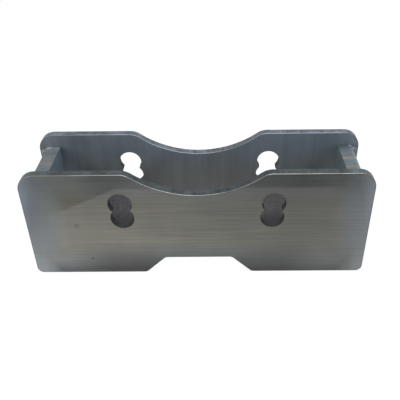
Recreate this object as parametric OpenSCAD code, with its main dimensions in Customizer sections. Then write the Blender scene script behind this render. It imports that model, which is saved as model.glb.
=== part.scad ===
// Axle hanger: two saddle plates held apart by two end plates and fillet welds.
// X runs along the plates, Y from the front plate to the rear one, Z up from the feet.
// The origin is at the middle of the footprint, on the surface that the feet stand on.

/* [Side plates] */
// Length of a side plate
plate_len = 228.6; // [200:0.1:280]
// Height of a side plate, from its feet to its top edge
plate_h = 79; // [74:0.5:100]
// Thickness of a side plate
plate_t = 6.35; // [4:0.05:10]
// Clear gap between the two side plates
plate_gap = 50; // [30:0.5:80]
// Radius of a side plate's upper corners
top_corner_r = 11; // [2:0.25:14]
// Radius of a side plate's lower corners
foot_corner_r = 4.5; // [1:0.25:6]

/* [Axle saddle] */
// Diameter of the axle tube that lies in the saddle
axle_dia = 146; // [130:0.5:160]
// Depth of the saddle below the top edge
saddle_depth = 15.5; // [8:0.5:17]
// Radius that eases the saddle into the top edge
saddle_corner_r = 12; // [2:0.5:16]

/* [Foot notch] */
// Width of the notch at the feet
notch_mouth_w = 73.8; // [64:0.1:90]
// Width of the notch at its flat roof
notch_roof_w = 45.8; // [30:0.1:54]
// Height of the notch's roof above the feet
notch_h = 13; // [8:0.5:20]
// Radius of the notch's corners
notch_corner_r = 4; // [1:0.5:6]

/* [Bolt holes] */
// Diameter of each of a hole's two lobes
lobe_dia = 15.9; // [13:0.1:18]
// Distance between the upper lobes of the two holes
upper_lobe_spacing = 100.4; // [94:0.1:110]
// Distance between the lower lobes of the two holes
lower_lobe_spacing = 99; // [90:0.1:106]
// Height of the upper lobes' centres above the feet
upper_lobe_h = 57.1; // [54:0.1:60]
// Height of the lower lobes' centres above the feet
lower_lobe_h = 46.3; // [43:0.1:48]

/* [End plates] */
// Thickness of an end plate
end_plate_t = 9.5; // [6:0.1:16]
// Height of an end plate
end_plate_h = 70; // [40:0.5:72]
// Distance from a side plate's end in to an end plate's outer face
end_inset = 5.5; // [5:0.1:20]

/* [Welds] */
// Leg of a fillet weld along each of the two plates that it joins
weld_leg = 5; // [3.5:0.1:5.5]
// Bulge of the weld's face past a flat fillet
weld_bulge = 0.8; // [0.2:0.1:1]
// Distance from one weld ripple to the next
ripple_pitch = 3.2; // [2:0.1:5]
// Depth of the valley between two ripples
ripple_depth = 0.35; // [0.1:0.05:0.6]
// Bare length of the corner below a weld
weld_start = 4; // [0:0.5:10]
// Bare length of the corner above a weld, up to the end plate's top
weld_stop = 0.5; // [0:0.5:10]

/* [Hidden] */
$fn = 96;
saddle_facets = 180;
// Cuts run past the blank, and the circle of a rounding stands a hair past the edges that it eases.
cut_over = 1;
rounding_over = 0.01;
saddle_r = axle_dia / 2;
saddle_centre_h = plate_h - saddle_depth + saddle_r;
end_outer_x = plate_len / 2 - end_inset;

// A weld's face is part of a cylinder about an axis behind the corner, through the ends of both legs.
weld_throat = weld_leg / sqrt(2) + weld_bulge;
weld_back = (pow(weld_throat, 2) - pow(weld_leg, 2)) / (2 * weld_leg - 2 * sqrt(2) * weld_throat);
weld_face_r = weld_throat + sqrt(2) * weld_back;
// Whole ripples fill a weld, each a round ridge that meets its neighbours at the valley depth.
weld_len = end_plate_h - weld_start - weld_stop;
ripple_count = floor(weld_len / ripple_pitch);
ripple_step = weld_len / ripple_count;
ripple_r = (pow(ripple_step / 2, 2) + pow(ripple_depth, 2)) / (2 * ripple_depth);
// A weld's ends are round and run out just short of the corner itself.
weld_end_share = 0.8;
weld_end_r = weld_end_share * weld_throat;

steel_grey = [0.46, 0.47, 0.46];
edge_grey = [0.50, 0.53, 0.54];
weld_grey = [0.62, 0.64, 0.65];

function along(angle) = [cos(angle), sin(angle)];

// Children on the right-hand side, and their mirror image on the left.
module both_sides() {
    children();
    mirror([1, 0]) children();
}

// What rounding takes off a corner whose edges leave it at the two angles, a to b counter-clockwise.
module corner_waste(corner, a, b, r) {
    half = (b - a) / 2;
    inward = along(a + half) / sin(half);
    centre = corner + inward * (r - rounding_over);
    difference() {
        polygon([centre,
                 centre + along(a - 90) * (r + cut_over),
                 corner - inward * (rounding_over + cut_over),
                 centre + along(b + 90) * (r + cut_over)]);
        translate(centre) circle(r);
    }
}

// What rounding takes off the corner between the top edge and the saddle's right-hand end.
module saddle_corner_waste() {
    rise = saddle_depth - saddle_r - saddle_corner_r + rounding_over;
    reach = saddle_r + saddle_corner_r - rounding_over;
    centre = [sqrt(pow(reach, 2) - pow(rise, 2)), saddle_centre_h + rise];
    in_saddle = centre + ([0, saddle_centre_h] - centre) * (saddle_corner_r + cut_over) / reach;
    difference() {
        polygon([centre, [centre.x, plate_h + cut_over], [in_saddle.x, plate_h + cut_over], in_saddle]);
        translate(centre) circle(saddle_corner_r);
    }
}

// The notch between the feet, with its roof corners rounded and its mouth corners eased.
module foot_notch() {
    flank = atan2(notch_h, (notch_mouth_w - notch_roof_w) / 2);
    roof = [notch_roof_w / 2, notch_h];
    mouth = [notch_mouth_w / 2, 0];
    below = mouth - along(180 - flank) * cut_over;
    difference() {
        polygon([[-below.x, below.y], below, roof, [-roof.x, roof.y]]);
        both_sides() corner_waste(roof, 180, 360 - flank, notch_corner_r);
    }
    both_sides() corner_waste(mouth, 0, 180 - flank, notch_corner_r);
}

// One figure-eight bolt hole: two lobes that run into each other.
module bolt_hole() {
    translate([upper_lobe_spacing / 2, upper_lobe_h]) circle(d = lobe_dia);
    translate([lower_lobe_spacing / 2, lower_lobe_h]) circle(d = lobe_dia);
}

// Outline of a side plate: a rectangular blank less its saddle, notch, holes and rounded corners.
module side_outline() {
    difference() {
        translate([-plate_len / 2, 0]) square([plate_len, plate_h]);
        translate([0, saddle_centre_h]) circle(saddle_r, $fn = saddle_facets);
        foot_notch();
        both_sides() {
            corner_waste([plate_len / 2, plate_h], 180, 270, top_corner_r);
            corner_waste([plate_len / 2, 0], 90, 180, foot_corner_r);
            saddle_corner_waste();
            bolt_hole();
        }
    }
}

// A side plate with its front face at the given depth.
module side_plate(front_y) {
    translate([0, front_y + plate_t, 0]) rotate([90, 0, 0]) linear_extrude(plate_t) side_outline();
}

// An end plate fills the gap between the side plates.
module end_plate(inner_x) {
    translate([inner_x, -plate_gap / 2, 0]) cube([end_plate_t, plate_gap, end_plate_h]);
}

// Half section of a weld along its length: a bar with its two outer corners rounded.
module weld_envelope() {
    intersection() {
        square([weld_face_r, weld_len]);
        union() {
            square([weld_face_r - weld_end_r, weld_len]);
            translate([0, weld_end_r]) square([weld_face_r, weld_len - 2 * weld_end_r]);
            for (z = [weld_end_r, weld_len - weld_end_r])
                translate([weld_face_r - weld_end_r, z]) circle(weld_end_r);
        }
    }
}

// Round ridges side by side along a weld's face, on a solid core.
module weld_ripples() {
    square([weld_face_r - 2 * ripple_depth, weld_len]);
    for (i = [0 : ripple_count - 1])
        translate([weld_face_r - ripple_r, (i + 0.5) * ripple_step]) circle(ripple_r);
}

// A rippled bead in the corner at the origin, with one leg along +X and the other along +Y.
module weld_bead() {
    translate([0, 0, weld_start]) intersection() {
        cube([weld_leg + weld_bulge, weld_leg + weld_bulge, weld_len]);
        translate([-weld_back, -weld_back, 0]) rotate_extrude() intersection() {
            weld_envelope();
            weld_ripples();
        }
    }
}

// The bead moved to the right-hand end, in the rear corner of the recess outside the end plate.
module rear_right_bead() {
    translate([end_outer_x, plate_gap / 2, 0]) mirror([0, 1, 0]) weld_bead();
}

module front_side_plate() {
    color(steel_grey) side_plate(-plate_gap / 2 - plate_t);
}

module rear_side_plate() {
    color(steel_grey) side_plate(plate_gap / 2);
}

module left_end_plate() {
    color(edge_grey) end_plate(-end_outer_x);
}

module right_end_plate() {
    color(edge_grey) end_plate(end_outer_x - end_plate_t);
}

module front_left_weld() {
    color(weld_grey) mirror([1, 0, 0]) mirror([0, 1, 0]) rear_right_bead();
}

module front_right_weld() {
    color(weld_grey) mirror([0, 1, 0]) rear_right_bead();
}

module rear_left_weld() {
    color(weld_grey) mirror([1, 0, 0]) rear_right_bead();
}

module rear_right_weld() {
    color(weld_grey) rear_right_bead();
}

front_side_plate();
rear_side_plate();
left_end_plate();
right_end_plate();
front_left_weld();
front_right_weld();
rear_left_weld();
rear_right_weld();
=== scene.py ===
import math

import bpy
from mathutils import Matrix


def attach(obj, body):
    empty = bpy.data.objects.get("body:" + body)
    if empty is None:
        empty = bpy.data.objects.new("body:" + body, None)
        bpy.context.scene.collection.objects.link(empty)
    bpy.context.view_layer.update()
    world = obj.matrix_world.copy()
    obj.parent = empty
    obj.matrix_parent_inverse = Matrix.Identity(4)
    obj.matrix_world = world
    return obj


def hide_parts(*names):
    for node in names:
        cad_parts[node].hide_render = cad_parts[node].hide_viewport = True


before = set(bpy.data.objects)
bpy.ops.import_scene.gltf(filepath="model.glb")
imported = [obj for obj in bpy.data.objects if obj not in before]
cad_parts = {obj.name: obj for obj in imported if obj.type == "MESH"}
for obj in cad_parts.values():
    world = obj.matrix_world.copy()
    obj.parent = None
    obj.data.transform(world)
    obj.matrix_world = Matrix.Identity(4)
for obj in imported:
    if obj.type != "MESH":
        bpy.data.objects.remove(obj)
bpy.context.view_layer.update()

# Side plates: two like plates that carry the axle tube in their round saddles, cut by laser from hot-rolled
# steel. They are brushed lengthways and oiled outside, keep their blue mill scale inside, and have dark cut
# edges with the arris broken by hand. They stand on their feet, with the end plates welded between them.
MM = 0.001
ARRIS = 0.35 * MM
# Two steps of a quarter round, each as (share of the arris inwards, share of it outwards).
ARRIS_STEPS = ((0.293, 0.707), (0.707, 0.293))
CURVE_ANGLE = math.radians(18)
# The bolt holes lie within this box on either side of the middle: least and greatest |X|, least and greatest Z.
HOLE_BOX = (38 * MM, 62 * MM, 35 * MM, 68 * MM)
# The points of a hole's rim lie within this many arrises of the plate's faces.
RIM_REACH = 1.5
# By the Y share of its normal a face is flat above FLAT, and part of the broken arris between the EDGE_SHARES.
FLAT = 0.9
EDGE_SHARES = (0.01, 0.99)
OUTSIDE, INSIDE, CUT, EDGE = range(4)
MERGE_DISTANCE = 0.002 * MM


def linear(hex_colour):
    """An sRGB hex colour as linear RGBA."""
    srgb = [int(hex_colour[i:i + 2], 16) / 255 for i in (1, 3, 5)]
    return [c / 12.92 if c <= 0.04045 else ((c + 0.055) / 1.055) ** 2.4 for c in srgb] + [1.0]


# Sockets that share their labels with others: a map range goes from BEFORE to AFTER between START and END, and a
# mix has a pair for numbers and a pair for colours, whose result is MIXED.
START, END, BEFORE, AFTER = 1, 2, 3, 4
NUMBER_A, NUMBER_B, COLOUR_A, COLOUR_B = 2, 3, 6, 7
MIXED = 2


def add(tree, kind, inputs=None, **settings):
    """Adds a node with its settings; each input, by label or number, is a value, or a socket to link from."""
    node = tree.nodes.new(kind)
    for name, value in settings.items():
        setattr(node, name, value)
    for key, value in (inputs or {}).items():
        if isinstance(value, bpy.types.NodeSocket):
            tree.links.new(value, node.inputs[key])
        else:
            node.inputs[key].default_value = value
    return node


def new_material(name):
    """An empty material, its node tree, and the object coordinates in metres."""
    material = bpy.data.materials.new(name)
    material.use_nodes = True
    tree = material.node_tree
    tree.nodes.clear()
    return material, tree, add(tree, "ShaderNodeTexCoord").outputs["Object"]


def merged_copy(name, node):
    """A copy of a CAD node's mesh as a piece of its own, with its loose triangles merged, in edit mode."""
    piece = bpy.data.objects.new(name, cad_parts[node].data.copy())
    piece.data.materials.clear()
    bpy.context.collection.objects.link(piece)
    bpy.ops.object.select_all(action="DESELECT")
    bpy.context.view_layer.objects.active = piece
    piece.select_set(True)
    bpy.ops.object.mode_set(mode="EDIT")
    bpy.ops.mesh.select_mode(type="FACE")
    bpy.ops.mesh.select_all(action="SELECT")
    bpy.ops.mesh.remove_doubles(threshold=MERGE_DISTANCE)
    bpy.ops.mesh.customdata_custom_splitnormals_clear()
    return piece


def break_arris(piece, arris):
    """Rounds the edge round a plate's two faces: both faces are moved in, then inset back out in steps. The rims of
    the bolt holes are then drawn back out to the faces, and stay as sharp as they were cut."""
    bpy.ops.mesh.select_all(action="DESELECT")
    bpy.ops.object.mode_set(mode="OBJECT")
    for face in piece.data.polygons:
        face.select = abs(face.normal.y) > FLAT
    inner = {i for face in piece.data.polygons if face.select for i in face.vertices}
    middle = sum(v.co.y for v in piece.data.vertices) / len(piece.data.vertices)
    for i in inner:
        side = 1 if piece.data.vertices[i].co.y > middle else -1
        piece.data.vertices[i].co.y -= side * arris
    bpy.ops.object.mode_set(mode="EDIT")
    for inwards, outwards in ARRIS_STEPS:
        bpy.ops.mesh.inset(thickness=inwards * arris, depth=outwards * arris, use_even_offset=True)
    bpy.ops.object.mode_set(mode="OBJECT")
    half = max(v.co.y for v in piece.data.vertices) - middle
    for v in piece.data.vertices:
        in_hole = HOLE_BOX[0] < abs(v.co.x) < HOLE_BOX[1] and HOLE_BOX[2] < v.co.z < HOLE_BOX[3]
        if in_hole and half - abs(v.co.y - middle) < RIM_REACH * arris:
            v.co.y = middle + math.copysign(half, v.co.y - middle)
    piece.data.update()
    for face in piece.data.polygons:
        flat = abs(face.normal.y)
        outward = face.normal.y * middle > 0
        if EDGE_SHARES[0] < flat < EDGE_SHARES[1]:
            face.material_index = EDGE
        elif flat < FLAT:
            face.material_index = CUT
        else:
            face.material_index = OUTSIDE if outward else INSIDE
    bpy.ops.object.shade_smooth_by_angle(angle=CURVE_ANGLE)


def brushed_plate(name, middle, left, right, marks):
    """Hot-rolled plate steel, brushed lengthways and oiled: a dull grey with fine lengthwise grain, faint mottling
    and a few dark marks, one of them a wide patch of painted shade, bluer towards both ends, the feet, the top and
    the notch, under a thin gloss that mirrors what stands near it. Painted shade darkens the feet and the top, and
    painted light lightens the left, the right end and the feet's outer corners. Each mark is given as its place,
    its reach and how dark its middle is."""
    material, tree, place = new_material(name)
    # The real grain is about 0.1 mm wide, too fine to show, so it is drawn about 0.7 mm wide and 50 mm long.
    grain_place = add(tree, "ShaderNodeMapping", {0: place, "Scale": (1 / (50 * MM), 1 / (20 * MM), 1 / (0.7 * MM))})
    grain = add(tree, "ShaderNodeTexNoise", {"Vector": grain_place.outputs[0], "Scale": 1.0, "Detail": 4.0,
                                             "Roughness": 0.65})
    mottle = add(tree, "ShaderNodeTexNoise", {"Vector": place, "Scale": 1 / (28 * MM), "Detail": 5.0,
                                              "Roughness": 0.6})
    at = add(tree, "ShaderNodeSeparateXYZ", {0: place})
    from_middle = add(tree, "ShaderNodeMath", {0: at.outputs["X"]}, operation="ABSOLUTE")
    to_end = add(tree, "ShaderNodeMapRange", {0: from_middle.outputs[0], START: 86 * MM, END: 112 * MM})
    to_foot = add(tree, "ShaderNodeMapRange", {0: at.outputs["Z"], START: 24 * MM, END: 6 * MM, AFTER: 0.4})
    to_top = add(tree, "ShaderNodeMapRange", {0: at.outputs["Z"], START: 58 * MM, END: 72 * MM, AFTER: 0.28})
    heated = add(tree, "ShaderNodeMapRange", {0: at.outputs["Z"], START: 20 * MM, END: 60 * MM, BEFORE: 0.55})
    blue = add(tree, "ShaderNodeMath", {0: to_end.outputs[0], 1: heated.outputs[0]}, operation="MULTIPLY")
    blue = add(tree, "ShaderNodeMath", {0: blue.outputs[0], 1: to_foot.outputs[0]}, operation="MAXIMUM")
    blue = add(tree, "ShaderNodeMath", {0: blue.outputs[0], 1: to_top.outputs[0]}, operation="MAXIMUM")
    by_notch = add(tree, "ShaderNodeMapRange", {0: from_middle.outputs[0], START: 46 * MM, END: 26 * MM, AFTER: 0.4})
    over_notch = add(tree, "ShaderNodeMapRange", {0: at.outputs["Z"], START: 26 * MM, END: 15 * MM})
    notch = add(tree, "ShaderNodeMath", {0: by_notch.outputs[0], 1: over_notch.outputs[0]}, operation="MULTIPLY")
    blue = add(tree, "ShaderNodeMath", {0: blue.outputs[0], 1: notch.outputs[0]}, operation="MAXIMUM")
    rightward = add(tree, "ShaderNodeMapRange", {0: at.outputs["X"], START: 30 * MM, END: 100 * MM})
    ends = add(tree, "ShaderNodeMix", {0: rightward.outputs[0], COLOUR_A: linear(left), COLOUR_B: linear(right)},
               data_type="RGBA")
    colour = add(tree, "ShaderNodeMix", {0: blue.outputs[0], COLOUR_A: linear(middle),
                                         COLOUR_B: ends.outputs[MIXED]}, data_type="RGBA")
    # Grain and mottle both lighten and darken the steel a little, the grain less so at the left and both ends.
    depth = add(tree, "ShaderNodeMapRange", {0: at.outputs["X"], START: -95 * MM, END: 10 * MM, BEFORE: 0.13,
                                             AFTER: 0.27})
    fading = add(tree, "ShaderNodeMapRange", {0: from_middle.outputs[0], START: 78 * MM, END: 104 * MM, BEFORE: 1.0,
                                              AFTER: 0.35})
    depth = add(tree, "ShaderNodeMath", {0: depth.outputs[0], 1: fading.outputs[0]}, operation="MULTIPLY")
    least = add(tree, "ShaderNodeMath", {0: 1.0, 1: depth.outputs[0]}, operation="SUBTRACT")
    most = add(tree, "ShaderNodeMath", {0: 1.0, 1: depth.outputs[0]}, operation="ADD")
    light = add(tree, "ShaderNodeMapRange", {0: grain.outputs[0], START: 0.3, END: 0.7, BEFORE: least.outputs[0],
                                             AFTER: most.outputs[0]})
    patch = add(tree, "ShaderNodeMapRange", {0: mottle.outputs[0], START: 0.3, END: 0.7, BEFORE: 0.9, AFTER: 1.1})
    shade = add(tree, "ShaderNodeMath", {0: light.outputs[0], 1: patch.outputs[0]}, operation="MULTIPLY")
    # Painted shade darkens the feet, standing for the shadowed floor their gloss mirrors, though not their outer
    # corners, which get a painted highlight where their unshaded share goes past 1. Painted shade also darkens the
    # top, painted light from the left makes the steel lighter to the left and darker to the right, the very left end
    # is darker, and painted light brightens the right end.
    painted_foot_shade = add(tree, "ShaderNodeMapRange", {0: at.outputs["Z"], START: 3 * MM, END: 26 * MM, BEFORE: 0.05})
    unshaded_foot_share = add(tree, "ShaderNodeMapRange", {0: from_middle.outputs[0], START: 60 * MM, END: 100 * MM})
    painted_foot_corner_light = add(tree, "ShaderNodeMapRange", {0: at.outputs["Z"], START: 2 * MM, END: 12 * MM, BEFORE: 0.45})
    outer_corner_highlight = add(tree, "ShaderNodeMapRange", {0: from_middle.outputs[0], START: 90 * MM, END: 108 * MM, AFTER: 1.35})
    painted_foot_corner_light = add(tree, "ShaderNodeMath", {0: painted_foot_corner_light.outputs[0], 1: outer_corner_highlight.outputs[0]}, operation="MAXIMUM")
    unshaded_foot_share = add(tree, "ShaderNodeMath", {0: unshaded_foot_share.outputs[0], 1: painted_foot_corner_light.outputs[0]}, operation="MULTIPLY")
    foot_shade = add(tree, "ShaderNodeMix", {0: unshaded_foot_share.outputs[0], NUMBER_A: painted_foot_shade.outputs[0], NUMBER_B: 1.0},
               clamp_factor=False)
    # Painted shade: darker towards the top, except at the ends.
    top_shade = add(tree, "ShaderNodeMapRange", {0: at.outputs["Z"], START: 30 * MM, END: 72 * MM, BEFORE: 1.05,
                                           AFTER: 0.68})
    top_shade = add(tree, "ShaderNodeMath", {0: top_shade.outputs[0], 1: to_end.outputs[0]}, operation="MAXIMUM")
    # Painted light from the left: lighter to the left, darker to the right.
    painted_side_light = add(tree, "ShaderNodeMapRange", {0: at.outputs["X"], START: -95 * MM, END: 70 * MM, BEFORE: 1.88,
                                              AFTER: 0.86})
    painted_side_light = add(tree, "ShaderNodeMix", {0: foot_shade.outputs[0], NUMBER_A: 1.0, NUMBER_B: painted_side_light.outputs[0]})
    # The very left end is darker, and painted light brightens the right end.
    darker_left_end = add(tree, "ShaderNodeMapRange", {0: at.outputs["X"], START: -110 * MM, END: -90 * MM, BEFORE: 0.66})
    painted_right_end_light = add(tree, "ShaderNodeMapRange", {0: at.outputs["X"], START: 62 * MM, END: 100 * MM, BEFORE: 1.0,
                                                 AFTER: 1.25})
    for part in (foot_shade, top_shade, painted_side_light, darker_left_end, painted_right_end_light):
        shade = add(tree, "ShaderNodeMath", {0: shade.outputs[0], 1: part.outputs[0]}, operation="MULTIPLY")
    # A mark is darkest over the inner third of its reach.
    for mark, reach, darkest in marks:
        gap = add(tree, "ShaderNodeVectorMath", {0: place, 1: [c * MM for c in mark]}, operation="DISTANCE")
        dark = add(tree, "ShaderNodeMapRange", {0: gap.outputs["Value"], START: 0.3 * reach, END: reach,
                                                BEFORE: darkest})
        shade = add(tree, "ShaderNodeMath", {0: shade.outputs[0], 1: dark.outputs[0]}, operation="MULTIPLY")
    steel = add(tree, "ShaderNodeVectorMath", {0: colour.outputs[MIXED], "Scale": shade.outputs[0]},
                operation="SCALE")
    rough = add(tree, "ShaderNodeMapRange", {0: grain.outputs[0], START: 0.3, END: 0.7, BEFORE: 0.56, AFTER: 0.44})
    bump = add(tree, "ShaderNodeBump", {"Strength": 0.12, "Distance": 0.05 * MM, "Height": grain.outputs[0]})
    # The heat of the welds has thinned and dulled the gloss at the ends.
    cool, hot = 84 * MM, 106 * MM
    oil = add(tree, "ShaderNodeMapRange", {0: from_middle.outputs[0], START: cool, END: hot, BEFORE: 1.0,
                                           AFTER: 0.35})
    haze = add(tree, "ShaderNodeMapRange", {0: from_middle.outputs[0], START: cool, END: hot, BEFORE: 0.06,
                                            AFTER: 0.24})
    shader = add(tree, "ShaderNodeBsdfPrincipled", {
        "Base Color": steel.outputs[0], "Metallic": 0.45, "Roughness": rough.outputs[0], "Normal": bump.outputs[0],
        "Coat Weight": oil.outputs[0], "Coat Roughness": haze.outputs[0]})
    add(tree, "ShaderNodeOutputMaterial", {0: shader.outputs[0]})
    return material


def mill_scale(name, blue, grey, dust):
    """Mill scale: the thin oxide that hot rolling leaves, blue-grey near the top and plain grey below, with faint
    upright streaks and soft clouds, and speckled where dust has settled low down. Painted shade darkens it at the
    left and towards the floor, and painted light lightens it low down next to the end plates."""
    material, tree, place = new_material(name)
    streak_place = add(tree, "ShaderNodeMapping", {0: place, "Scale": (1 / (5 * MM), 1 / (20 * MM), 1 / (70 * MM))})
    streaks = add(tree, "ShaderNodeTexNoise", {"Vector": streak_place.outputs[0], "Scale": 1.0, "Detail": 4.0})
    clouds = add(tree, "ShaderNodeTexNoise", {"Vector": place, "Scale": 1 / (22 * MM), "Detail": 5.0})
    both = add(tree, "ShaderNodeMath", {0: streaks.outputs[0], 1: clouds.outputs[0]}, operation="ADD")
    shade = add(tree, "ShaderNodeMapRange", {0: both.outputs[0], START: 0.7, END: 1.3, BEFORE: 0.85, AFTER: 1.15})
    at = add(tree, "ShaderNodeSeparateXYZ", {0: place})
    greyer = add(tree, "ShaderNodeMapRange", {0: at.outputs["Z"], START: 66 * MM, END: 44 * MM})
    tint = add(tree, "ShaderNodeMix", {0: greyer.outputs[0], COLOUR_A: linear(blue), COLOUR_B: linear(grey)},
               data_type="RGBA")
    dusty = add(tree, "ShaderNodeMapRange", {0: at.outputs["Z"], START: 38 * MM, END: 20 * MM})
    tint = add(tree, "ShaderNodeMix", {0: dusty.outputs[0], COLOUR_A: tint.outputs[MIXED], COLOUR_B: linear(dust)},
               data_type="RGBA")
    specks = add(tree, "ShaderNodeTexNoise", {"Vector": place, "Scale": 1 / (2.5 * MM), "Detail": 3.0})
    speckled = add(tree, "ShaderNodeMapRange", {0: specks.outputs[0], START: 0.35, END: 0.65, BEFORE: 0.8,
                                                AFTER: 1.2})
    speckled = add(tree, "ShaderNodeMix", {0: dusty.outputs[0], NUMBER_A: 1.0, NUMBER_B: speckled.outputs[0]})
    shade = add(tree, "ShaderNodeMath", {0: shade.outputs[0], 1: speckled.outputs[0]}, operation="MULTIPLY")
    # Painted shade: darker towards the floor, below 16 mm.
    painted_floor_shade = add(tree, "ShaderNodeMapRange", {0: at.outputs["Z"], START: 6 * MM, END: 16 * MM, BEFORE: 0.43})
    shade = add(tree, "ShaderNodeMath", {0: shade.outputs[0], 1: painted_floor_shade.outputs[0]}, operation="MULTIPLY")
    # Painted shade at the left, and painted light low down beside the end plates, where they shade the face.
    left = add(tree, "ShaderNodeMapRange", {0: at.outputs["X"], START: -80 * MM, END: -40 * MM, BEFORE: 0.9})
    from_middle = add(tree, "ShaderNodeMath", {0: at.outputs["X"]}, operation="ABSOLUTE")
    painted_light_by_bar = add(tree, "ShaderNodeMapRange", {0: from_middle.outputs[0], START: 88 * MM, END: 99 * MM, BEFORE: 1.0,
                                              AFTER: 1.8})
    lit_below_bar = add(tree, "ShaderNodeMapRange", {0: at.outputs["Z"], START: 66 * MM, END: 52 * MM})
    painted_light_by_bar = add(tree, "ShaderNodeMix", {0: lit_below_bar.outputs[0], NUMBER_A: 1.0, NUMBER_B: painted_light_by_bar.outputs[0]})
    for part in (left, painted_light_by_bar):
        shade = add(tree, "ShaderNodeMath", {0: shade.outputs[0], 1: part.outputs[0]}, operation="MULTIPLY")
    scale = add(tree, "ShaderNodeVectorMath", {0: tint.outputs[MIXED], "Scale": shade.outputs[0]}, operation="SCALE")
    rough = add(tree, "ShaderNodeMapRange", {0: clouds.outputs[0], START: 0.3, END: 0.7, BEFORE: 0.42, AFTER: 0.58})
    shader = add(tree, "ShaderNodeBsdfPrincipled", {
        "Base Color": scale.outputs[0], "Metallic": 0.25, "Roughness": rough.outputs[0]})
    add(tree, "ShaderNodeOutputMaterial", {0: shader.outputs[0]})
    return material


def upward(tree):
    """A socket with the Z share of the surface's normal, which is 1 on a level top and 0 on an upright face."""
    facing = add(tree, "ShaderNodeNewGeometry")
    return add(tree, "ShaderNodeSeparateXYZ", {0: facing.outputs["Normal"]}).outputs["Z"]


def laser_cut(name, colour, corner_light):
    """Laser-cut steel edge: dark blue-grey oxide with fine drag lines straight through the plate's thickness,
    darkened below the saddle, in the holes and the notch by painted shade, and rougher and less metallic there.
    Its upper corners are made paler by painted light, by the given factor on top, and more so where they turn down."""
    material, tree, place = new_material(name)
    # Drag lines are about 0.3 mm apart; they are drawn about 1.8 mm apart so that they show.
    line_place = add(tree, "ShaderNodeMapping", {0: place, "Scale": (1 / (1.8 * MM), 1 / (7 * MM), 1 / (1.8 * MM))})
    lines = add(tree, "ShaderNodeTexNoise", {"Vector": line_place.outputs[0], "Scale": 1.0, "Detail": 4.0})
    patches = add(tree, "ShaderNodeTexNoise", {"Vector": place, "Scale": 1 / (9 * MM), "Detail": 3.0})
    both = add(tree, "ShaderNodeMath", {0: lines.outputs[0], 1: patches.outputs[0]}, operation="ADD")
    shade = add(tree, "ShaderNodeMapRange", {0: both.outputs[0], START: 0.7, END: 1.3, BEFORE: 0.45, AFTER: 1.55})
    at = add(tree, "ShaderNodeSeparateXYZ", {0: place})
    shade_top, bare_from = 60 * MM, 63 * MM
    bare = add(tree, "ShaderNodeMapRange", {0: at.outputs["Z"], START: shade_top, END: bare_from, BEFORE: 0.2})
    # Painted shade below the saddle, in the holes and the notch.
    painted_low_shade = add(tree, "ShaderNodeMapRange", {0: at.outputs["Z"], START: shade_top, END: bare_from, BEFORE: 0.27})
    rough = add(tree, "ShaderNodeMapRange", {0: at.outputs["Z"], START: shade_top, END: bare_from, BEFORE: 0.8,
                                             AFTER: 0.46})
    shade = add(tree, "ShaderNodeMath", {0: shade.outputs[0], 1: painted_low_shade.outputs[0]}, operation="MULTIPLY")
    from_middle = add(tree, "ShaderNodeMath", {0: at.outputs["X"]}, operation="ABSOLUTE")
    # Painted light on the upper corners, more where they turn down, away from the light above.
    corner = add(tree, "ShaderNodeMapRange", {0: from_middle.outputs[0], START: 92 * MM, END: 106 * MM})
    corner = add(tree, "ShaderNodeMath", {0: corner.outputs[0], 1: bare.outputs[0]}, operation="MULTIPLY")
    painted_corner_light = add(tree, "ShaderNodeMapRange", {0: upward(tree), START: 0.9, END: 0.1, BEFORE: corner_light, AFTER: 3.2})
    painted_corner_light = add(tree, "ShaderNodeMix", {0: corner.outputs[0], NUMBER_A: 1.0, NUMBER_B: painted_corner_light.outputs[0]})
    shade = add(tree, "ShaderNodeMath", {0: shade.outputs[0], 1: painted_corner_light.outputs[0]}, operation="MULTIPLY")
    oxide = add(tree, "ShaderNodeVectorMath", {0: linear(colour)[:3], "Scale": shade.outputs[0]}, operation="SCALE")
    bump = add(tree, "ShaderNodeBump", {"Strength": 0.4, "Distance": 0.08 * MM, "Height": lines.outputs[0]})
    shader = add(tree, "ShaderNodeBsdfPrincipled", {
        "Base Color": oxide.outputs[0], "Metallic": bare.outputs[0], "Roughness": rough.outputs[0],
        "Normal": bump.outputs[0]})
    add(tree, "ShaderNodeOutputMaterial", {0: shader.outputs[0]})
    return material


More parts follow.
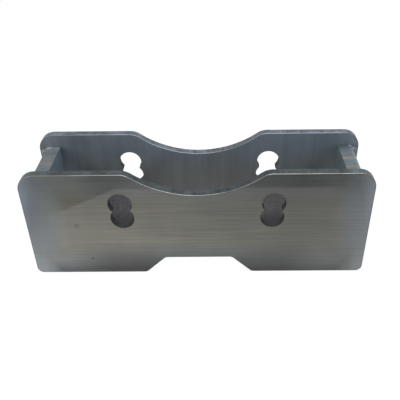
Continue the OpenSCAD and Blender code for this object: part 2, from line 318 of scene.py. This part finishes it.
def broken_edge(name, bright, dull):
    """Arris broken with a file: bare bright steel along the top edge and saddle where it faces up, partly a painted
    highlight, made brighter on the saddle's slopes by painted light, and dulled by oxide elsewhere."""
    material, tree, place = new_material(name)
    nicks = add(tree, "ShaderNodeTexNoise", {"Vector": place, "Scale": 1 / (7 * MM), "Detail": 4.0})
    # Bare steel where the arris faces up, partly a painted highlight.
    bare = add(tree, "ShaderNodeMapRange", {0: upward(tree), START: 0.4, END: 0.6})
    at = add(tree, "ShaderNodeSeparateXYZ", {0: place})
    high = add(tree, "ShaderNodeMapRange", {0: at.outputs["Z"], START: 56 * MM, END: 62 * MM})
    bare = add(tree, "ShaderNodeMath", {0: bare.outputs[0], 1: high.outputs[0]}, operation="MULTIPLY")
    worn = add(tree, "ShaderNodeMapRange", {0: nicks.outputs[0], START: 0.35, END: 0.6, BEFORE: 0.55, AFTER: 1.0})
    bare_and_highlight_share = add(tree, "ShaderNodeMath", {0: bare.outputs[0], 1: worn.outputs[0]}, operation="MULTIPLY")
    colour = add(tree, "ShaderNodeMix", {0: bare_and_highlight_share.outputs[0], COLOUR_A: linear(dull), COLOUR_B: linear(bright)},
                 data_type="RGBA")
    # Painted light on the saddle's slopes.
    from_middle = add(tree, "ShaderNodeMath", {0: at.outputs["X"]}, operation="ABSOLUTE")
    off_slope = add(tree, "ShaderNodeMath", {0: from_middle.outputs[0], 1: 36 * MM}, operation="SUBTRACT")
    off_slope = add(tree, "ShaderNodeMath", {0: off_slope.outputs[0]}, operation="ABSOLUTE")
    painted_slope_light = add(tree, "ShaderNodeMapRange", {0: off_slope.outputs[0], START: 12 * MM, END: 4 * MM, BEFORE: 1.0,
                                             AFTER: 1.45})
    steel = add(tree, "ShaderNodeVectorMath", {0: colour.outputs[MIXED], "Scale": painted_slope_light.outputs[0]},
                operation="SCALE")
    shader = add(tree, "ShaderNodeBsdfPrincipled", {
        "Base Color": steel.outputs[0], "Metallic": 1.0, "Roughness": 0.34})
    add(tree, "ShaderNodeOutputMaterial", {0: shader.outputs[0]})
    return material


# Two small dark marks, and a wide faint patch of painted shade at the top left of the saddle.
MARKS_AND_SHADE = (((-80.8, -31.35, 40.2), 2.4 * MM, 0.68), ((-73.8, -31.35, 12.6), 1.5 * MM, 0.45),
         ((-56, -31.35, 78), 22 * MM, 0.68))
brushed = brushed_plate("brushed_plate_steel", "#4f4f48", "#6c757f", "#6c737a", MARKS_AND_SHADE)
scaled = mill_scale("mill_scale", "#5f6b75", "#636665", "#656466")
PLATE_FINISHES = {
    "front": (brushed, scaled, laser_cut("front_plate_laser_cut_edge", "#373d3f", 2.0),
              broken_edge("front_plate_broken_edge", "#8d8c83", "#4c4e4c")),
    "rear": (brushed, scaled, laser_cut("rear_plate_laser_cut_edge", "#555b61", 1.3),
             broken_edge("rear_plate_broken_edge", "#7c8285", "#4c5154")),
}
for place_name, finishes in PLATE_FINISHES.items():
    plate = merged_copy(f"{place_name}_plate", f"{place_name}_side_plate")
    for finish in finishes:
        plate.data.materials.append(finish)
    break_arris(plate, ARRIS)
    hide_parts(f"{place_name}_side_plate")
    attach(plate, "root")

# End plates: two lengths of thicker flat bar, sawn to length, that hold the side plates apart near their ends.
# Their sawn tops lie below the side plates' top edges, grey-blue with a few tan lines of surface rust.
END_ARRIS = 0.4 * MM
LEVEL_ANGLE = math.radians(1)


def sawn_bar(name, colour, rust, bright, streaks, weld_lap_and_glint, light_band):
    """Sawn flat bar: grey-blue steel with fine saw marks, its top crossed by thin tan streaks of surface rust, each
    given as its place across the bar, its half width and its strength. Painted light makes its upright faces paler.
    The top is brighter where a weld laps onto it, partly weld metal and partly a painted glint, given as a place and
    a reach, and along a band of painted light by the weld, given as an axis, a stretch and a strength."""
    material, tree, place = new_material(name)
    # Saw marks are about 0.4 mm apart; they are drawn about 0.8 mm apart so that they show.
    mark_place = add(tree, "ShaderNodeMapping", {0: place, "Scale": (1 / (12 * MM), 1 / (0.8 * MM), 1 / (2 * MM))})
    marks = add(tree, "ShaderNodeTexNoise", {"Vector": mark_place.outputs[0], "Scale": 1.0, "Detail": 3.0})
    mottle = add(tree, "ShaderNodeTexNoise", {"Vector": place, "Scale": 1 / (6 * MM), "Detail": 4.0})
    both = add(tree, "ShaderNodeMath", {0: marks.outputs[0], 1: mottle.outputs[0]}, operation="ADD")
    shade = add(tree, "ShaderNodeMapRange", {0: both.outputs[0], START: 0.7, END: 1.3, BEFORE: 0.82, AFTER: 1.18})
    # Painted light makes the bar's rolled faces paler than its sawn top.
    up = upward(tree)
    painted_side_face_light = add(tree, "ShaderNodeMapRange", {0: up, START: 0.9, END: 0.3, BEFORE: 1.0, AFTER: 2.1})
    on_top = add(tree, "ShaderNodeMapRange", {0: up, START: 0.3, END: 0.9})
    shade = add(tree, "ShaderNodeMath", {0: shade.outputs[0], 1: painted_side_face_light.outputs[0]}, operation="MULTIPLY")
    # The streaks waver by about 1 mm.
    at = add(tree, "ShaderNodeSeparateXYZ", {0: place})
    waver = add(tree, "ShaderNodeMapRange", {0: mottle.outputs[0], BEFORE: -2 * MM, AFTER: 2 * MM})
    across = add(tree, "ShaderNodeMath", {0: at.outputs["Y"], 1: waver.outputs[0]}, operation="ADD")
    rusty = add(tree, "ShaderNodeMapRange", {0: mottle.outputs[0], START: 0.6, END: 0.75, AFTER: 0.3})
    for middle, half_width, strength in streaks:
        off = add(tree, "ShaderNodeMath", {0: across.outputs[0], 1: middle * MM}, operation="SUBTRACT")
        off = add(tree, "ShaderNodeMath", {0: off.outputs[0]}, operation="ABSOLUTE")
        streak = add(tree, "ShaderNodeMapRange", {0: off.outputs[0], START: half_width * MM,
                                                  END: 0.3 * half_width * MM, AFTER: strength})
        rusty = add(tree, "ShaderNodeMath", {0: rusty.outputs[0], 1: streak.outputs[0]}, operation="MAXIMUM")
    rusty = add(tree, "ShaderNodeMath", {0: rusty.outputs[0], 1: on_top.outputs[0]}, operation="MULTIPLY")
    tint = add(tree, "ShaderNodeMix", {0: rusty.outputs[0], COLOUR_A: linear(colour), COLOUR_B: linear(rust)},
               data_type="RGBA")
    # A band of painted light by the weld, and a painted glint where the weld laps onto the top.
    heated = add(tree, "ShaderNodeMapRange", {0: at.outputs[light_band[0]], START: light_band[1] * MM, END: light_band[2] * MM,
                                              AFTER: light_band[3]})
    gap = add(tree, "ShaderNodeVectorMath", {0: place, 1: [c * MM for c in weld_lap_and_glint[0]]}, operation="DISTANCE")
    lap_and_glint_share = add(tree, "ShaderNodeMapRange", {0: gap.outputs["Value"], START: weld_lap_and_glint[1], END: 0.5 * weld_lap_and_glint[1]})
    weld_metal_and_light = add(tree, "ShaderNodeMath", {0: heated.outputs[0], 1: lap_and_glint_share.outputs[0]}, operation="MAXIMUM")
    weld_metal_and_light = add(tree, "ShaderNodeMath", {0: weld_metal_and_light.outputs[0], 1: on_top.outputs[0]}, operation="MULTIPLY")
    tint = add(tree, "ShaderNodeMix", {0: weld_metal_and_light.outputs[0], COLOUR_A: tint.outputs[MIXED],
                                       COLOUR_B: linear(bright)}, data_type="RGBA")
    steel = add(tree, "ShaderNodeVectorMath", {0: tint.outputs[MIXED], "Scale": shade.outputs[0]}, operation="SCALE")
    bump = add(tree, "ShaderNodeBump", {"Strength": 0.3, "Distance": 0.06 * MM, "Height": marks.outputs[0]})
    shader = add(tree, "ShaderNodeBsdfPrincipled", {
        "Base Color": steel.outputs[0], "Metallic": 0.4, "Roughness": 0.5, "Normal": bump.outputs[0]})
    add(tree, "ShaderNodeOutputMaterial", {0: shader.outputs[0]})
    return material


# Each bar's streaks, in mm from the middle of the gap, where a weld laps onto its top with a painted glint, and its
# band of painted light by the weld.
STREAKS = {"left": ((1, 3.5, 0.6), (12, 2, 0.2)), "right": ((5.5, 1.8, 1.0), (-7, 2, 0.6), (12, 2, 0.3))}
WELD_LAPS_AND_GLINTS = {"left": ((-107.2, 23.6, 70), 3.4 * MM), "right": ((107.6, 23.4, 70), 1.2 * MM)}
WELD_LIGHT_BANDS = {"left": ("Y", 16, 24, 0.45), "right": ("X", 106.8, 107.6, 0.16)}
for side, streaks in STREAKS.items():
    bar_finish = sawn_bar(f"{side}_sawn_bar", "#4c555a", "#6c6358", "#9da6a9", streaks, WELD_LAPS_AND_GLINTS[side], WELD_LIGHT_BANDS[side])
    bar = merged_copy(f"{side}_bar", f"{side}_end_plate")
    bpy.ops.mesh.dissolve_limited(angle_limit=LEVEL_ANGLE)
    bpy.ops.mesh.bevel(offset=END_ARRIS, segments=2, affect="EDGES")
    bpy.ops.object.mode_set(mode="OBJECT")
    bar.data.materials.append(bar_finish)
    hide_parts(f"{side}_end_plate")
    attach(bar, "root")

# Welds: four rippled fillet beads in the corners outside the end plates, laid upwards and left as they cooled,
# so their metal is bright with straw and blue heat tints. They join each end plate to both side plates.


def weld_bead(name, bright, straw, blue):
    """As-laid weld metal: silvery, with straw and blue bands of heat tint from ripple to ripple."""
    material, tree, place = new_material(name)
    tint = add(tree, "ShaderNodeTexNoise", {"Vector": place, "Scale": 1 / (5 * MM), "Detail": 3.0})
    warm = add(tree, "ShaderNodeMapRange", {0: tint.outputs[0], START: 0.45, END: 0.6})
    cold = add(tree, "ShaderNodeMapRange", {0: tint.outputs[0], START: 0.45, END: 0.3})
    straw_mix = add(tree, "ShaderNodeMix", {0: warm.outputs[0], COLOUR_A: linear(bright), COLOUR_B: linear(straw)},
                    data_type="RGBA")
    colour = add(tree, "ShaderNodeMix", {0: cold.outputs[0], COLOUR_A: straw_mix.outputs[MIXED],
                                         COLOUR_B: linear(blue)}, data_type="RGBA")
    grit = add(tree, "ShaderNodeTexNoise", {"Vector": place, "Scale": 1 / (0.9 * MM), "Detail": 2.0})
    bump = add(tree, "ShaderNodeBump", {"Strength": 0.25, "Distance": 0.08 * MM, "Height": grit.outputs[0]})
    shader = add(tree, "ShaderNodeBsdfPrincipled", {
        "Base Color": colour.outputs[MIXED], "Metallic": 1.0, "Roughness": 0.58, "Normal": bump.outputs[0]})
    add(tree, "ShaderNodeOutputMaterial", {0: shader.outputs[0]})
    return material


# The right-hand beads get darker tints than the left-hand ones: painted shade that dims their highlight.
HEAT_TINTS_AND_SHADE = {"left": ("#7d8790", "#70706e", "#616d79"), "right": ("#646c73", "#626261", "#535d67")}
for side, tints in HEAT_TINTS_AND_SHADE.items():
    bead_finish = weld_bead(f"{side}_as_laid_weld_metal", *tints)
    for plate_name in ("front", "rear"):
        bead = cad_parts[f"{plate_name}_{side}_weld"]
        bead.data.materials.clear()
        bead.data.materials.append(bead_finish)

# Floor: a wide pale sheet that the hanger stands on, white with a faint shadow under the feet. The oiled steel
# mirrors it, and past its near edge and one cut corner a dark bench, which shows only there.
FLOOR_SIDE = 6.0


def seen_rays(tree):
    """A socket that is 1 for rays from the camera or off a mirror, and 0 for those that only carry light."""
    ray = add(tree, "ShaderNodeLightPath")
    seen = add(tree, "ShaderNodeMath", {0: ray.outputs["Is Camera Ray"], 1: ray.outputs["Is Glossy Ray"]},
               operation="MAXIMUM")
    seen = add(tree, "ShaderNodeMath", {0: seen.outputs[0], 1: ray.outputs["Is Transmission Ray"]},
               operation="MAXIMUM")
    return seen.outputs[0]


bpy.ops.object.select_all(action="DESELECT")
bpy.ops.mesh.primitive_plane_add(size=FLOOR_SIDE)
floor = bpy.context.object
floor.name = "floor"
sheet_finish, tree, _ = new_material("pale_matt_sheet")
seen = seen_rays(tree)
# Where it is seen, most of the sheet's white is a glow of its own, so that only a faint shadow is left on it.
sheet_colour = add(tree, "ShaderNodeMix", {0: seen, COLOUR_A: (0.8, 0.8, 0.8, 1), COLOUR_B: (0.12, 0.12, 0.12, 1)},
                   data_type="RGBA")
glow_level = add(tree, "ShaderNodeMath", {0: seen, 1: 0.9}, operation="MULTIPLY")
matt = add(tree, "ShaderNodeBsdfDiffuse", {"Color": sheet_colour.outputs[MIXED]})
glow = add(tree, "ShaderNodeEmission", {"Color": (1, 1, 1, 1), "Strength": glow_level.outputs[0]})
sheet = add(tree, "ShaderNodeAddShader", {0: matt.outputs[0], 1: glow.outputs[0]})
add(tree, "ShaderNodeOutputMaterial", {0: sheet.outputs[0]})
floor.data.materials.append(sheet_finish)

bench_finish, tree, _ = new_material("dark_bench")
bench_matt = add(tree, "ShaderNodeBsdfDiffuse", {"Color": linear("#32373f")})
add(tree, "ShaderNodeOutputMaterial", {0: bench_matt.outputs[0]})
# The stretches lie just over the sheet, each a little above the one before.
BENCH_HEIGHT = 0.5 * MM
BENCH_STEP = 0.2 * MM
# Each stretch of bench: the middle of its near side, its turn, length and depth.
BENCHES = ((200 * MM, -142 * MM, 0, 900 * MM, 260 * MM), (-160 * MM, -69.6 * MM, -40.4, 420 * MM, 260 * MM),
           (-137 * MM, -20 * MM, -90, 200 * MM, 260 * MM))
for i, (near_x, near_y, turn, length, depth) in enumerate(BENCHES):
    angle = math.radians(turn)
    bpy.ops.mesh.primitive_plane_add(size=1, rotation=(0, 0, angle), location=(
        near_x + math.sin(angle) * depth / 2, near_y - math.cos(angle) * depth / 2, BENCH_HEIGHT + i * BENCH_STEP))
    bench = bpy.context.object
    bench.name = f"bench_{i}"
    bench.scale = (length, depth, 1)
    bpy.ops.object.transform_apply(location=True, rotation=True, scale=True)
    bench.data.materials.append(bench_finish)
    bench.visible_camera = bench.visible_diffuse = bench.visible_transmission = bench.visible_shadow = False

# Light: a white surround, a cool softbox above and a little behind, so that the floor just in front of the
# hanger lies in its own soft shadow, a warm one in front that catches the upper arrises, a low one on the left
# and a cool one on the right.
world = bpy.data.worlds.new("studio")
bpy.context.scene.world = world
world.use_nodes = True
tree = world.node_tree
tree.nodes.clear()
level = add(tree, "ShaderNodeMapRange", {0: seen_rays(tree), BEFORE: 0.32, AFTER: 1.0})
surround = add(tree, "ShaderNodeBackground", {"Color": (1, 1, 1, 1), "Strength": level.outputs[0]})
add(tree, "ShaderNodeOutputWorld", {0: surround.outputs[0]})

# Each lamp: its name, place in metres, width in metres, watts and colour.
LAMPS = (("overhead_softbox", (0.1, 0.35, 1.0), 0.8, 8, "#f1f6ff"),
         ("front_softbox", (0.0, -0.6, 1.05), 0.7, 3.4, "#ffefd8"),
         ("left_softbox", (-0.4, -0.36, 0.3), 0.45, 2.0, "#fff8ee"),
         ("right_softbox", (0.45, -0.15, 0.45), 0.4, 1.8, "#dce9ff"))
for lamp_name, spot, width, watts, glow_colour in LAMPS:
    bpy.ops.object.light_add(type="AREA", location=spot)
    lamp = bpy.context.object
    lamp.name = lamp_name
    lamp.data.size = width
    lamp.data.energy = watts
    lamp.data.color = linear(glow_colour)[:3]
    lamp.rotation_euler = lamp.location.to_track_quat("Z", "Y").to_euler()

# Camera: where the photograph was taken from, just right of the middle and about 36 degrees above the feet.
# Its lens and shift come from a fit to the plates' edges.
bpy.ops.object.camera_add(location=(15.221 * MM, -336.901 * MM, 258.271 * MM),
                          rotation=(math.radians(53.4854), math.radians(0.7008), math.radians(0.302)))
camera = bpy.context.object
camera.data.lens = 50.7
camera.data.shift_x = -0.03507
camera.data.shift_y = 0.08736
camera.data.clip_start = 10 * MM
bpy.context.scene.camera = camera
bpy.context.scene.view_settings.view_transform = "Standard"
